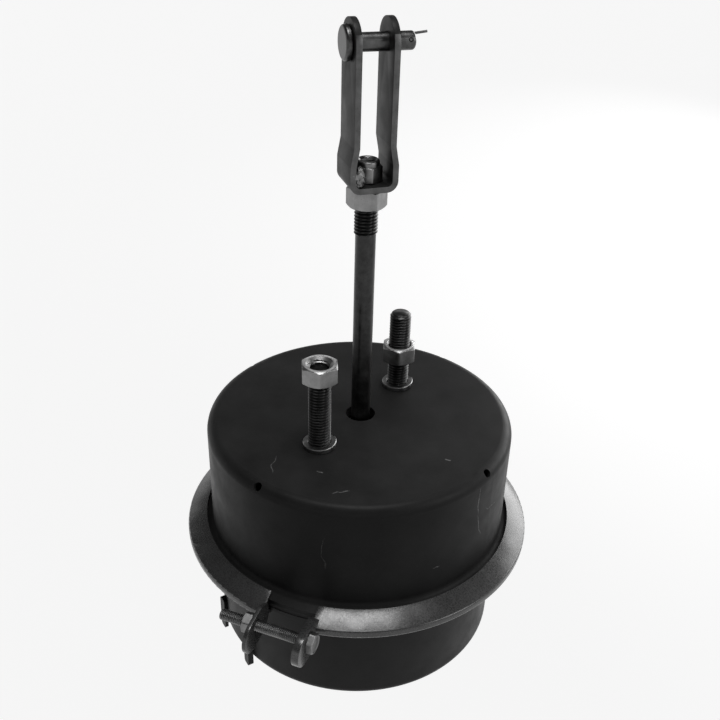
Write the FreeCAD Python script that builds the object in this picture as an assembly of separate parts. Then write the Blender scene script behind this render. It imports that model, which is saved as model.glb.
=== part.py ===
import FreeCAD, Part
import math
import os

# Vacuum brake chamber, in millimetres.
# The origin is the middle of the mounting face, on the push rod's axis. +Z runs along the rod, out of
# the chamber, and the two mounting studs stand on the Y axis. A bearing is an angle about Z, counted
# from -Y towards +X.

# Pressed housings
WALL = 2.0                     # sheet thickness of both housings
UPPER_RADIUS = 85.0            # outside of the vented upper housing
LOWER_RADIUS = 82.0            # outside of the vacuum side's lower housing
UPPER_SHOULDER = 5.5           # outer bend between the mounting face and the wall
LOWER_SHOULDER = 5.0           # outer bend between the lower wall and the bottom
JOINT_DEPTH = 70.0             # mounting face to the joint plane between the housings
RIM_REACH = 6.0                # wider housing's wall to the outer edge of both conical rims
RIM_GAP = 2.9                  # between the rims at that edge
RIM_SLOPE = 26.0               # slope of the rims and of the clamp's legs, in degrees
FLARE = 4.0                    # bend between a wall and its rim
ROD_HOLE = 16.3                # loose hole in the mounting face
VENT_HOLE = 4.5
VENT_COUNT = 4
VENT_BEARING = -3.3            # bearing of the first vent

# Clamp band
BAND_GRIP = 2.5                # how far the band's legs reach in past the rims' edge
BAND_SHEET = 2.0
BAND_ROOM = 6.5                # rims' edge to the inside of the band's crown
BAND_BEND = 1.2                # outer bends beside the crown
BAND_GAP_BEARING = 12.8
EAR_GAP = 25.4                 # between the facing sides of the two ears
EAR_LENGTH = 20.0              # from the band's crown to an ear's tip
EAR_WIDTH = 18.0
EAR_ROOT = 2.0                 # how far outside the rims an ear starts
EAR_BEND = 3.0                 # where an ear widens from the legs
RIGHT_EAR_DROOP = 1.0          # how the two ears happen to be bent down, in degrees
LEFT_EAR_DROOP = 10.0
CLAMP_BOLT_REACH = 6.5         # from the band's crown to the bolt's axis
CLAMP_BOLT_RISE = 0.5          # bolt's axis above the joint plane
CLAMP_BOLT_LENGTH = 50.0       # under the head
CLAMP_BOLT_TURN = 12.0         # how the head and the nut happen to be turned
CLAMP_NUT_TURN = 20.0

# Screw threads: outer diameter, then the nut's width across flats and height
M12 = 12.0
M12_FLATS = 18.0
M12_NUT = 10.0
M12_THIN_NUT = 6.0
M12_HEAD = 7.5
M8 = 8.0
M8_FLATS = 13.0
LOCK_NUT_HEX = 8.0             # hexagon of the lock nut, then its collar
LOCK_NUT_COLLAR = 2.7
COLLAR_DIAMETER = 11.8
M6 = 6.0
M6_FLATS = 10.0
M6_NUT = 5.0
M6_HEAD = 3.6
M5 = 5.0
M5_FLATS = 8.0
M5_HEAD = 3.5
NUT_CROWN = 0.95               # chamfer circle of nuts and heads, as a share of the flats

# Mounting studs
STUD_SPACING = 76.2
STUD_REACH = 47.5              # mounting face to the stud's end
FRONT_NUT_BASE = 40.5          # the nuts are run on by hand, each to its own height
REAR_NUT_BASE = 17.5
STUD_PLATE = 4.0               # stiffening plate under the mounting face
STUD_PLATE_WIDTH = 46.0
STUD_PLATE_END = 22.0          # stud axis to the plate's end
FRONT_NUT_CORNER = 38.0        # bearing of one corner of each nut
REAR_NUT_CORNER = 32.0
JAM_NUT_CORNER = 2.5
LOCK_NUT_CORNER = 55.0
SPLIT_WASHER_OD = 17.8
SPLIT_WASHER = 2.5
SPLIT_WASHER_SLIT = 1.6
SPLIT_SLANT = 35.0             # lean of the slit, in degrees
SPLIT_EDGE = 0.35              # rounding of the outer edges
FRONT_SLIT_BEARING = 160.0
REAR_SLIT_BEARING = 150.0

# Push rod and piston
ROD_SHANK = 10.5
STROKE = 63.5                  # full pull-in travel
PULLED_IN_NUT = 59.2           # mounting face to the jam nut when fully pulled in
ROD_STANDS = 10.4              # rod's end above the fork's floor
ROD_SHOULDER = 0.5             # thread's end to the fork's base, where the M8 end starts
THREAD_BELOW_NUT = 14.2        # bare thread under the jam nut
ROD_TAIL = 3.0                 # thread that stands past the lower nut
PISTON_STOP_GAP = 0.3          # stud heads to the upper plate at rest
PLATE = 2.5
UPPER_PLATE_RADIUS = 54.0
LOWER_PLATE_RADIUS = 60.0
LOWER_PLATE_SKIRT = 14.0
PLATE_BEND = 4.0
BOTTOM_ROOM = 34.2             # rod's lower end to the bottom's inside when fully pulled in

# Diaphragm
RUBBER = 2.5
RUBBER_BEND = 5.0
NECK_BEND = 2.0                # where the cone meets the clamped wedge
RUBBER_WALL_GAP = 1.0          # rubber to the upper wall's inside, just above the rims
RIM_SEAT = 0.1                 # each face of the clamped wedge to its rim

# Return spring
SPRING_WIRE = 4.5
SPRING_RADIUS = 29.0           # axis to the middle of the wire
SPRING_COILS = 6.5
SPRING_FACES = 6               # long faces that the wire's round surface is made of
SEAT_SHEET = 2.0
SEAT_LIP = 5.0

# Clevis, bent from strap
CLEVIS_BEARING = 142.5         # bearing of the pin's tail end
STRAP = 3.0
STRAP_WIDTH = 22.0
FORK_GAP_LOW = 18.2            # between the legs at the nut
FORK_GAP_HIGH = 14.9           # between the legs at the pin
FORK_BEND = 5.5                # outer bend between the base and the legs
JOG_RISE = 10.3                # fork's floor to the start of the jog in its legs
JOG_LENGTH = 9.0
PIN_REACH = 67.7               # fork's base to the pin
PIN = 8.5
PIN_HEAD = 16.0
PIN_HEAD_HEIGHT = 3.0
PIN_HEAD_ROUND = 1.8
PIN_HEAD_EDGE = 0.6
PIN_POINT = 1.5                # rounding of the pin's end
PIN_TAIL = 10.1                # from the fork's far side to the pin's end
COTTER = 1.2
COTTER_HOLE = 2.2
COTTER_OFFSET = 7.2            # from the fork's far side to the cotter's axis
COTTER_TILT = 15.0             # rise of its near end, in degrees
COTTER_BEND = 1.6
COTTER_RISE = 4.2              # length of the stretch that climbs out from behind the pin
COTTER_CLIMB = 48.0            # its slope, in degrees
COTTER_TAIL = 8.5              # nearly level stretch at the end, then its slope
COTTER_LIFT = 6.0

# Vacuum port
PORT_BEARING = 180.0
PORT_RISE = 26.0               # outside of the bottom to the port's axis
PORT_PAD_STAND = 3.1           # lower wall to the flat of the welded pad
PORT_GASKET = 0.8
PORT_PLATE = 3.3
PORT_SCREW_SPACING = 31.0
PORT_WIDTH = 24.0              # height of the oval pad and plate
PORT_END_ROUND = 8.0
PORT_BORE = 11.8               # tapping bore of the pipe thread
PORT_SCREW_TURN = 15.0

# Lugs at the lower edge
LUG_BEARING = -25.3            # midway between the two
LUG_SPACING = 33.8
LUG_WIDTH = 5.8
LUG_SHEET = 2.5
LUG_RISE = 18.0                # its upper end above the outside of the bottom
LUG_DROP = 4.5                 # its lower end below it
LUG_ROUND = 1.6

# Clearances and the common chamfer
CLEAR = 0.3                    # between bodies that move past each other
FIT = 0.1                      # radial, for a pin or a bolt in its own hole
BAND_SEAT = 0.1                # band's legs to the rims
THREAD_FIT = 0.05              # radial, for a nut on its thread
CHAMFER = 1.0

# Values worked out from the sizes above. An apex is the radius at which a cone of the rims' slope meets
# the joint plane.
SLOPE = math.radians(RIM_SLOPE)
JOINT_Z = -JOINT_DEPTH
RIM_RADIUS = max(UPPER_RADIUS, LOWER_RADIUS) + RIM_REACH
RIM_INNER_APEX = RIM_RADIUS + RIM_GAP / 2 / math.tan(SLOPE)
BEAD_APEX = RIM_INNER_APEX - RIM_SEAT / math.sin(SLOPE)
RIM_APEX = RIM_INNER_APEX + WALL / math.sin(SLOPE)
BAND_INNER_APEX = RIM_APEX + BAND_SEAT / math.sin(SLOPE)
BAND_APEX = BAND_INNER_APEX + BAND_SHEET / math.sin(SLOPE)
BAND_RADIUS = RIM_RADIUS + BAND_ROOM + BAND_SHEET
BAND_INSIDE = RIM_RADIUS - BAND_GRIP
CLAMP_BOLT_RADIUS = BAND_RADIUS + CLAMP_BOLT_REACH
CLAMP_BOLT_Z = JOINT_Z + CLAMP_BOLT_RISE
RIGHT_EAR_SHEET = 2 * BAND_SHEET    # folded double under the bolt's head
LEFT_EAR_SHEET = BAND_SHEET
HEAD_FACE = -WALL - STUD_PLATE
PISTON_TOP = HEAD_FACE - M12_HEAD - PISTON_STOP_GAP
RUBBER_TOP = PISTON_TOP - PLATE
LOWER_PLATE_TOP = RUBBER_TOP - RUBBER
SEAT_TOP = LOWER_PLATE_TOP - PLATE
LOWER_NUT_TOP = SEAT_TOP - SEAT_SHEET
ROD_BOTTOM = LOWER_NUT_TOP - M12_NUT - ROD_TAIL
LOWER_THREAD_END = PISTON_TOP + M12_THIN_NUT + CHAMFER
FLOOR_Z = ROD_BOTTOM - STROKE - BOTTOM_ROOM - WALL
JAM_NUT_BASE = STROKE + PULLED_IN_NUT
UPPER_THREAD_START = JAM_NUT_BASE - THREAD_BELOW_NUT
FORK_BASE = JAM_NUT_BASE + M12_NUT
FORK_FLOOR = FORK_BASE + STRAP
ROD_TOP = FORK_FLOOR + ROD_STANDS
JOG_START = FORK_FLOOR + JOG_RISE
JOG_END = JOG_START + JOG_LENGTH
PIN_HEIGHT = FORK_BASE + PIN_REACH
CLEARANCE_HOLE = M12 + 2 * CLEAR
SPRING_SEAT_RADIUS = SPRING_RADIUS + SPRING_WIRE / 2 + CLEAR + SEAT_SHEET
PORT_Z = FLOOR_Z + PORT_RISE
PORT_PAD_FACE = LOWER_RADIUS + PORT_PAD_STAND
PORT_FACE = PORT_PAD_FACE + PORT_GASKET + PORT_PLATE
PORT_HALF_LENGTH = PORT_SCREW_SPACING / 2 + M5_FLATS / 2 + CHAMFER

UP = FreeCAD.Vector(0, 0, 1)
ORIGIN = FreeCAD.Vector(0, 0, 0)
QUARTER_TURN = 90.0


def point(x, y, z):
    return FreeCAD.Vector(x, y, z)


def outward(bearing):
    """Unit vector away from the axis at a bearing."""
    angle = math.radians(bearing)
    return point(math.sin(angle), -math.cos(angle), 0)


def sideways(bearing):
    """Unit vector square to outward(), towards rising bearings."""
    angle = math.radians(bearing)
    return point(math.cos(angle), math.sin(angle), 0)


def cone_height(apex, radius):
    """Distance of a rim-parallel cone from the joint plane, at a radius."""
    return (apex - radius) * math.tan(SLOPE)


def rounded_wire(corners, place):
    """Closed wire through corners (u, v, radius). place() turns u and v into a point."""
    corners = [corner for index, corner in enumerate(corners) if corner[:2] != corners[index - 1][:2]]
    spans = []
    for index, (u, v, radius) in enumerate(corners):
        before = corners[index - 1]
        after = corners[(index + 1) % len(corners)]
        back = unit(before[0] - u, before[1] - v)
        ahead = unit(after[0] - u, after[1] - v)
        if radius <= 0:
            spans.append(((u, v), None, (u, v)))
            continue
        half = math.acos(back[0] * ahead[0] + back[1] * ahead[1]) / 2
        reach = min(radius / math.tan(half), free_length(corners[index], before),
                    free_length(corners[index], after))
        radius = reach * math.tan(half)
        middle = unit(back[0] + ahead[0], back[1] + ahead[1])
        depth = radius / math.sin(half) - radius
        spans.append(((u + back[0] * reach, v + back[1] * reach),
                      (u + middle[0] * depth, v + middle[1] * depth),
                      (u + ahead[0] * reach, v + ahead[1] * reach)))
    edges = []
    for index, (start, middle, end) in enumerate(spans):
        if middle:
            edges.append(Part.Arc(place(*start), place(*middle), place(*end)).toShape())
        following = spans[(index + 1) % len(spans)][0]
        if math.dist(end, following) > 1e-6:
            edges.append(Part.makeLine(place(*end), place(*following)))
    return Part.Wire(edges)


def free_length(corner, neighbour):
    """How far a corner's bend may reach along its side: half of it where the neighbour bends too."""
    length = math.dist(corner[:2], neighbour[:2])
    return length / 2 if neighbour[2] > 0 else length


def unit(u, v):
    length = math.hypot(u, v)
    return (u / length, v / length)


def turned(corners):
    """Solid of revolution about Z from corners (radius, z, bend)."""
    wire = rounded_wire(corners, lambda r, z: point(r, 0, z))
    return Part.Face(wire).revolve(ORIGIN, UP, 360)


def extruded(corners, place, direction):
    return Part.Face(rounded_wire(corners, place)).extrude(direction)


def cylinder(diameter, length, base, axis=UP):
    return Part.makeCylinder(diameter / 2, length, base, axis)


def chamfered_rod(diameter, low, high, chamfer_low, chamfer_high):
    """Round bar on Z with chamfered ends."""
    radius = diameter / 2
    return turned([(0, low, 0), (radius - chamfer_low, low, 0), (radius, low + chamfer_low, 0),
                   (radius, high - chamfer_high, 0), (radius - chamfer_high, high, 0), (0, high, 0)])


def hexagon(flats, height, crown_both=True):
    """Hexagonal prism on Z from z = 0, with its corners turned off at the top or at both ends."""
    corner = flats / math.sqrt(3)
    points = [point(corner * math.cos(math.radians(60 * k)), corner * math.sin(math.radians(60 * k)), 0)
              for k in range(6)]
    prism = Part.Face(Part.makePolygon(points + points[:1])).extrude(UP * height)
    rim = flats / 2 * NUT_CROWN
    cut = (corner - rim) * math.tan(math.radians(30))
    low = cut if crown_both else 0
    profile = [(0, 0, 0), (rim if crown_both else corner, 0, 0), (corner, low, 0),
               (corner, height - cut, 0), (rim, height, 0), (0, height, 0)]
    return prism.common(turned(profile))


def nut(flats, height, thread):
    """Hexagon nut on Z from z = 0, with a countersunk bore."""
    bore = thread / 2 + THREAD_FIT
    sink = CHAMFER / 2
    hole = turned([(0, 0, 0), (bore + sink, 0, 0), (bore, sink, 0),
                   (bore, height - sink, 0), (bore + sink, height, 0), (0, height, 0)])
    return hexagon(flats, height).cut(hole)


def placed(shape, base, axis=UP, spin=0.0):
    """Copy of a shape built on Z, spun about Z and moved so that Z points along axis from base."""
    copy = shape.copy()
    copy.rotate(ORIGIN, UP, spin)
    turn = FreeCAD.Rotation(UP, axis)
    copy.Placement = FreeCAD.Placement(base, turn).multiply(copy.Placement)
    return copy


def corner_spin(bearing):
    """Turn about Z that brings a hexagon's corner from +X to a bearing."""
    return bearing - QUARTER_TURN


# Housings

def upper_housing():
    rim_top = cone_height(RIM_APEX, RIM_RADIUS)
    rim_under = cone_height(RIM_INNER_APEX, RIM_RADIUS)
    inner = UPPER_RADIUS - WALL
    shell = turned([
        (0, 0, 0), (UPPER_RADIUS, 0, UPPER_SHOULDER),
        (UPPER_RADIUS, JOINT_Z + cone_height(RIM_APEX, UPPER_RADIUS), FLARE),
        (RIM_RADIUS, JOINT_Z + rim_top, 0), (RIM_RADIUS, JOINT_Z + rim_under, 0),
        (inner, JOINT_Z + cone_height(RIM_INNER_APEX, inner), FLARE + WALL),
        (inner, -WALL, UPPER_SHOULDER - WALL), (0, -WALL, 0)])
    cutters = [cylinder(ROD_HOLE, WALL, point(0, 0, -WALL))]
    for side in (-1, 1):
        cutters.append(cylinder(CLEARANCE_HOLE, WALL, point(0, side * STUD_SPACING / 2, -WALL)))
    for k in range(VENT_COUNT):
        away = outward(VENT_BEARING + 360.0 / VENT_COUNT * k)
        slant = (away + UP) * math.sqrt(0.5)
        bend = away * (UPPER_RADIUS - UPPER_SHOULDER) - UP * UPPER_SHOULDER
        start = bend + slant * (UPPER_SHOULDER - 2 * WALL)
        cutters.append(cylinder(VENT_HOLE, 4 * WALL, start, slant))
    return shell.cut(cutters)


def lower_housing():
    rim_base = cone_height(RIM_APEX, RIM_RADIUS)
    rim_face = cone_height(RIM_INNER_APEX, RIM_RADIUS)
    inner = LOWER_RADIUS - WALL
    shell = turned([
        (0, FLOOR_Z, 0), (LOWER_RADIUS, FLOOR_Z, LOWER_SHOULDER),
        (LOWER_RADIUS, JOINT_Z - cone_height(RIM_APEX, LOWER_RADIUS), FLARE),
        (RIM_RADIUS, JOINT_Z - rim_base, 0), (RIM_RADIUS, JOINT_Z - rim_face, 0),
        (inner, JOINT_Z - cone_height(RIM_INNER_APEX, inner), FLARE + WALL),
        (inner, FLOOR_Z + WALL, LOWER_SHOULDER - WALL), (0, FLOOR_Z + WALL, 0)])
    away = outward(PORT_BEARING)
    start = away * (LOWER_RADIUS - 2 * WALL) + UP * PORT_Z
    return shell.cut(cylinder(PORT_BORE, 3 * WALL, start, away))


def stud_plate():
    """Oblong plate welded under the mounting face, which spreads the studs' load."""
    half_width = STUD_PLATE_WIDTH / 2
    half_length = STUD_SPACING / 2 + STUD_PLATE_END
    bend = STUD_PLATE_END / 2
    corners = [(half_width, half_length, bend), (-half_width, half_length, bend),
               (-half_width, -half_length, bend), (half_width, -half_length, bend)]
    plate = extruded(corners, lambda x, y: point(x, y, HEAD_FACE), UP * STUD_PLATE)
    holes = [cylinder(ROD_HOLE, STUD_PLATE, point(0, 0, HEAD_FACE))]
    for side in (-1, 1):
        holes.append(cylinder(CLEARANCE_HOLE, STUD_PLATE, point(0, side * STUD_SPACING / 2, HEAD_FACE)))
    return plate.cut(holes)


# Mounting studs, their washers and nuts

def mounting_stud(side):
    shank = chamfered_rod(M12, HEAD_FACE, STUD_REACH, 0, CHAMFER)
    head = placed(hexagon(M12_FLATS, M12_HEAD, False), point(0, 0, HEAD_FACE), UP * -1)
    stud = shank.fuse(head).removeSplitter()
    stud.translate(point(0, side * STUD_SPACING / 2, 0))
    return stud


def split_washer(side, slit_bearing):
    bore = M12 / 2 + FIT
    edge = SPLIT_WASHER_OD / 2
    ring = turned([(bore, 0, 0), (edge, 0, SPLIT_EDGE), (edge, SPLIT_WASHER, SPLIT_EDGE),
                   (bore, SPLIT_WASHER, 0)])
    slit = Part.makeBox(edge, SPLIT_WASHER_SLIT, 3 * SPLIT_WASHER,
                        point(0, -SPLIT_WASHER_SLIT / 2, -SPLIT_WASHER))
    slit.rotate(point(0, 0, SPLIT_WASHER / 2), point(1, 0, 0), SPLIT_SLANT)
    slit.rotate(ORIGIN, UP, corner_spin(slit_bearing))
    ring = ring.cut(slit)
    ring.translate(point(0, side * STUD_SPACING / 2, 0))
    return ring


def mounting_nut(side, base, spin):
    return placed(nut(M12_FLATS, M12_NUT, M12), point(0, side * STUD_SPACING / 2, base), UP, spin)


# Clamp band

def bent_down(radius, height, droop):
    """Corner (radius, height above the joint plane) after its ear is bent down about the band's rim."""
    out = radius - RIM_RADIUS
    angle = math.radians(droop)
    return (RIM_RADIUS + out * math.cos(angle) + height * math.sin(angle),
            JOINT_Z + height * math.cos(angle) - out * math.sin(angle))


def ear_outline(root, mid_sheet, droop):
    """Tongue with a round tip. It starts inside the band's two legs."""
    half = EAR_WIDTH / 2
    tip = BAND_RADIUS + EAR_LENGTH
    neck = root + half - mid_sheet
    outline = [(root, JOINT_Z + mid_sheet, 0)]
    for radius, height, bend in ((neck, half, EAR_BEND), (tip, half, half), (tip, -half, half),
                                 (neck, -half, EAR_BEND)):
        outline.append(bent_down(radius, height, droop) + (bend,))
    return outline + [(root, JOINT_Z - mid_sheet, 0)]


def clamp_band():
    leg = cone_height(BAND_APEX, BAND_INSIDE)
    leg_inner = cone_height(BAND_INNER_APEX, BAND_INSIDE)
    crown = cone_height(BAND_APEX, BAND_RADIUS)
    crown_inside = BAND_RADIUS - BAND_SHEET
    crown_inner = cone_height(BAND_INNER_APEX, crown_inside)
    ring = turned([
        (BAND_INSIDE, JOINT_Z + leg, 0), (BAND_RADIUS, JOINT_Z + crown, BAND_BEND),
        (BAND_RADIUS, JOINT_Z - crown, BAND_BEND), (BAND_INSIDE, JOINT_Z - leg, 0),
        (BAND_INSIDE, JOINT_Z - leg_inner, 0), (crown_inside, JOINT_Z - crown_inner, 0),
        (crown_inside, JOINT_Z + crown_inner, 0), (BAND_INSIDE, JOINT_Z + leg_inner, 0)])
    away = outward(BAND_GAP_BEARING)
    along = sideways(BAND_GAP_BEARING)
    half_gap = EAR_GAP / 2
    opening = Part.makeBox(EAR_GAP + LEFT_EAR_SHEET, BAND_APEX, 4 * leg)
    opening.translate(point(-half_gap - LEFT_EAR_SHEET / 2, 0, JOINT_Z - 2 * leg))
    opening.rotate(ORIGIN, UP, 180)
    opening.rotate(ORIGIN, UP, BAND_GAP_BEARING)
    band = ring.cut(opening)
    root = RIM_RADIUS + EAR_ROOT
    mid_sheet = cone_height((BAND_APEX + BAND_INNER_APEX) / 2, root)
    for start, sheet, droop in ((half_gap, RIGHT_EAR_SHEET, RIGHT_EAR_DROOP),
                                (-half_gap - LEFT_EAR_SHEET, LEFT_EAR_SHEET, LEFT_EAR_DROOP)):
        ear = extruded(ear_outline(root, mid_sheet, droop),
                       lambda r, z: away * r + along * start + UP * z, along * sheet)
        band = band.fuse(ear)
    hole_start = away * CLAMP_BOLT_RADIUS - along * EAR_GAP + UP * CLAMP_BOLT_Z
    return band.removeSplitter().cut(cylinder(M6 + 2 * CLEAR, 2 * EAR_GAP, hole_start, along))


def clamp_bolt():
    """Bolt whose head bears on the ear at the higher bearing."""
    along = sideways(BAND_GAP_BEARING)
    seat = outward(BAND_GAP_BEARING) * CLAMP_BOLT_RADIUS + UP * CLAMP_BOLT_Z
    seat = seat + along * (EAR_GAP / 2 + RIGHT_EAR_SHEET)
    bolt = chamfered_rod(M6, -CLAMP_BOLT_LENGTH, 0, CHAMFER / 2, 0)
    bolt = bolt.fuse(hexagon(M6_FLATS, M6_HEAD, False)).removeSplitter()
    return placed(bolt, seat, along, CLAMP_BOLT_TURN)


def clamp_nut():
    along = sideways(BAND_GAP_BEARING)
    seat = outward(BAND_GAP_BEARING) * CLAMP_BOLT_RADIUS + UP * CLAMP_BOLT_Z
    seat = seat - along * (EAR_GAP / 2 + LEFT_EAR_SHEET)
    return placed(nut(M6_FLATS, M6_NUT, M6), seat, along * -1, CLAMP_NUT_TURN)


# Diaphragm, its plates and the return spring

def diaphragm():
    """Moulded rubber: a flat middle between the plates, a cone, and a wedge clamped by the rims."""
    bore = M12 / 2 + FIT
    neck = UPPER_RADIUS - WALL - RUBBER_WALL_GAP
    crest = LOWER_PLATE_RADIUS + RUBBER
    bead_in = neck + RUBBER
    bead_out = RIM_RADIUS - CLEAR
    half = RUBBER / 2
    return turned([
        (bore, RUBBER_TOP, 0), (crest, RUBBER_TOP, RUBBER_BEND + RUBBER),
        (neck, JOINT_Z + half + RUBBER, NECK_BEND),
        (bead_in, JOINT_Z + cone_height(BEAD_APEX, bead_in), 0),
        (bead_out, JOINT_Z + cone_height(BEAD_APEX, bead_out), 0),
        (bead_out, JOINT_Z - cone_height(BEAD_APEX, bead_out), 0),
        (bead_in, JOINT_Z - cone_height(BEAD_APEX, bead_in), 0),
        (neck - RUBBER, JOINT_Z + half - RUBBER, RUBBER_BEND),
        (crest - RUBBER, RUBBER_TOP - RUBBER, RUBBER_BEND), (bore, RUBBER_TOP - RUBBER, 0)])


def upper_diaphragm_plate():
    bore = M12 / 2 + FIT
    edge = UPPER_PLATE_RADIUS
    return turned([(bore, PISTON_TOP, 0), (edge, PISTON_TOP, PLATE / 2),
                   (edge, PISTON_TOP - PLATE, PLATE / 4), (bore, PISTON_TOP - PLATE, 0)])


def lower_diaphragm_plate():
    bore = M12 / 2 + FIT
    edge = LOWER_PLATE_RADIUS
    top = LOWER_PLATE_TOP
    hem = top - LOWER_PLATE_SKIRT
    return turned([(bore, top, 0), (edge, top, PLATE_BEND), (edge, hem, 0), (edge - PLATE, hem, 0),
                   (edge - PLATE, top - PLATE, PLATE_BEND - PLATE), (bore, top - PLATE, 0)])


def spring_seat(base, facing, bore):
    """Pressed cup round one end of the spring. facing is 1 for a lip that points up, -1 for down."""
    edge = SPRING_SEAT_RADIUS
    lip = SEAT_SHEET + SEAT_LIP
    inner = edge - SEAT_SHEET
    corners = [(bore, 0, 0), (edge, 0, SEAT_SHEET), (edge, facing * lip, 0), (inner, facing * lip, 0),
               (inner, facing * SEAT_SHEET, 0), (bore, facing * SEAT_SHEET, 0)]
    return turned([(r, base + z, bend) for r, z, bend in corners])


def return_spring():
    """Round-wire coil held between the two seats."""
    low = FLOOR_Z + WALL + SEAT_SHEET + SPRING_WIRE / 2 + FIT
    high = LOWER_NUT_TOP - SPRING_WIRE / 2 - FIT
    pitch = (high - low) / SPRING_COILS
    helix = Part.makeHelix(pitch, high - low, SPRING_RADIUS)
    helix.translate(UP * low)
    lean = math.atan2(pitch, 2 * math.pi * SPRING_RADIUS)
    start = point(SPRING_RADIUS, 0, low)
    tangent = point(0, math.cos(lean), math.sin(lean))
    circle = Part.Circle(start, tangent, SPRING_WIRE / 2)
    arc = 2 * math.pi / SPRING_FACES
    section = Part.Wire([circle.toShape(arc * k, arc * (k + 1)) for k in range(SPRING_FACES)])
    return Part.Wire(helix.Edges).makePipeShell([section], True, True)


# Push rod and what it carries

def push_rod():
    thread = M12 / 2
    shank = ROD_SHANK / 2
    step = thread - shank
    shoulder = FORK_BASE - ROD_SHOULDER
    end = M8 / 2
    return turned([
        (0, ROD_BOTTOM, 0), (thread - CHAMFER, ROD_BOTTOM, 0), (thread, ROD_BOTTOM + CHAMFER, 0),
        (thread, LOWER_THREAD_END, 0), (shank, LOWER_THREAD_END + step, 0),
        (shank, UPPER_THREAD_START - step, 0), (thread, UPPER_THREAD_START, 0),
        (thread, shoulder, 0), (end, shoulder, 0),
        (end, ROD_TOP, CHAMFER), (0, ROD_TOP, 0)])


def clevis_lock_nut():
    """Lock nut inside the fork: a small hexagon under a collar that is pressed in at its top."""
    bore = M8 / 2 + THREAD_FIT
    collar = COLLAR_DIAMETER / 2
    top = LOCK_NUT_HEX + LOCK_NUT_COLLAR
    sleeve = turned([(bore, 0, 0), (collar, 0, 0), (collar, top, LOCK_NUT_COLLAR / 2), (bore, top, 0)])
    lock = nut(M8_FLATS, LOCK_NUT_HEX, M8).fuse(sleeve).removeSplitter()
    return placed(lock, UP * (FORK_FLOOR + FIT), UP, corner_spin(LOCK_NUT_CORNER))


def clevis():
    tail = outward(CLEVIS_BEARING)
    low, high = FORK_GAP_LOW / 2, FORK_GAP_HIGH / 2
    top = PIN_HEIGHT + STRAP_WIDTH / 2
    half = STRAP_WIDTH / 2
    right = [(low + STRAP, FORK_BASE, FORK_BEND), (low + STRAP, JOG_START, STRAP),
             (high + STRAP, JOG_END, STRAP), (high + STRAP, top, 0),
             (high, top, 0), (high, JOG_END, STRAP), (low, JOG_START, STRAP),
             (low, FORK_FLOOR, FORK_BEND - STRAP)]
    left = [(-u, v, bend) for u, v, bend in reversed(right)]
    side = tail.cross(UP)
    fork = extruded(right + left, lambda u, z: tail * u - side * half + UP * z, side * STRAP_WIDTH)
    tips = [(-half, FORK_BASE - STRAP, 0), (half, FORK_BASE - STRAP, 0), (half, top, half),
            (-half, top, half)]
    reach = 2 * FORK_GAP_LOW
    rounding = extruded(tips, lambda u, z: side * u - tail * reach / 2 + UP * z, tail * reach)
    pin_hole = cylinder(PIN + 2 * FIT, reach, tail * (-reach / 2) + UP * PIN_HEIGHT, tail)
    rod_hole = cylinder(M8 + 2 * FIT, 2 * STRAP, UP * (FORK_BASE - STRAP / 2))
    return fork.common(rounding).cut([pin_hole, rod_hole])


def clevis_pin():
    """Headed pin on Z, then laid across the fork with its head at the near side."""
    half = FORK_GAP_HIGH / 2 + STRAP
    start = -half - CLEAR
    end = half + PIN_TAIL
    head = PIN_HEAD / 2
    radius = PIN / 2
    pin = turned([(0, start - PIN_HEAD_HEIGHT, 0), (head, start - PIN_HEAD_HEIGHT, PIN_HEAD_ROUND),
                  (head, start, PIN_HEAD_EDGE), (radius, start, 0), (radius, end, PIN_POINT),
                  (0, end, 0)])
    pin = placed(pin, UP * PIN_HEIGHT, outward(CLEVIS_BEARING))
    cotter_base, cotter_axis = cotter_line()
    return pin.cut(cylinder(COTTER_HOLE, 2 * PIN, cotter_base - cotter_axis * PIN, cotter_axis))


def cotter_line():
    """Middle and direction of the cotter's hole. The direction points to the side away from the head."""
    tail = outward(CLEVIS_BEARING)
    tilt = math.radians(COTTER_TILT)
    far = UP.cross(tail)
    middle = tail * (FORK_GAP_HIGH / 2 + STRAP + COTTER_OFFSET) + UP * PIN_HEIGHT
    return middle, far * math.cos(tilt) - UP * math.sin(tilt)


def cotter_pin():
    """Wire through the pin's end. Its far end climbs from behind the pin, then runs on nearly level."""
    middle, line = cotter_line()
    tail = outward(CLEVIS_BEARING)
    climb, lift = math.radians(COTTER_CLIMB), math.radians(COTTER_LIFT)
    start = middle - line * (PIN / 2 - FIT)
    corner = middle + line * (PIN / 2 + COTTER_BEND)
    crest = corner + (tail * math.cos(climb) + UP * math.sin(climb)) * COTTER_RISE
    end = crest + (tail * math.cos(lift) + UP * math.sin(lift)) * COTTER_TAIL
    path = bent_line([start, corner, crest, end], COTTER_BEND)
    section = Part.Wire([Part.Circle(start, line, COTTER / 2).toShape()])
    return path.makePipeShell([section], True, True)


def bent_line(points, bend):
    """Open wire through points, with an arc of one radius at each turn."""
    edges = []
    here = points[0]
    for before, corner, after in zip(points, points[1:], points[2:]):
        back = (before - corner).normalize()
        ahead = (after - corner).normalize()
        half = back.getAngle(ahead) / 2
        reach = bend / math.tan(half)
        halfway = (back + ahead).normalize() * (bend / math.sin(half) - bend)
        edges.append(Part.makeLine(here, corner + back * reach))
        here = corner + ahead * reach
        edges.append(Part.Arc(corner + back * reach, corner + halfway, here).toShape())
    return Part.Wire(edges + [Part.makeLine(here, points[-1])])


# Vacuum port

def port_outline():
    half = PORT_HALF_LENGTH
    half_width = PORT_WIDTH / 2
    return [(half, half_width, PORT_END_ROUND), (-half, half_width, PORT_END_ROUND),
            (-half, -half_width, PORT_END_ROUND), (half, -half_width, PORT_END_ROUND)]


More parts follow.
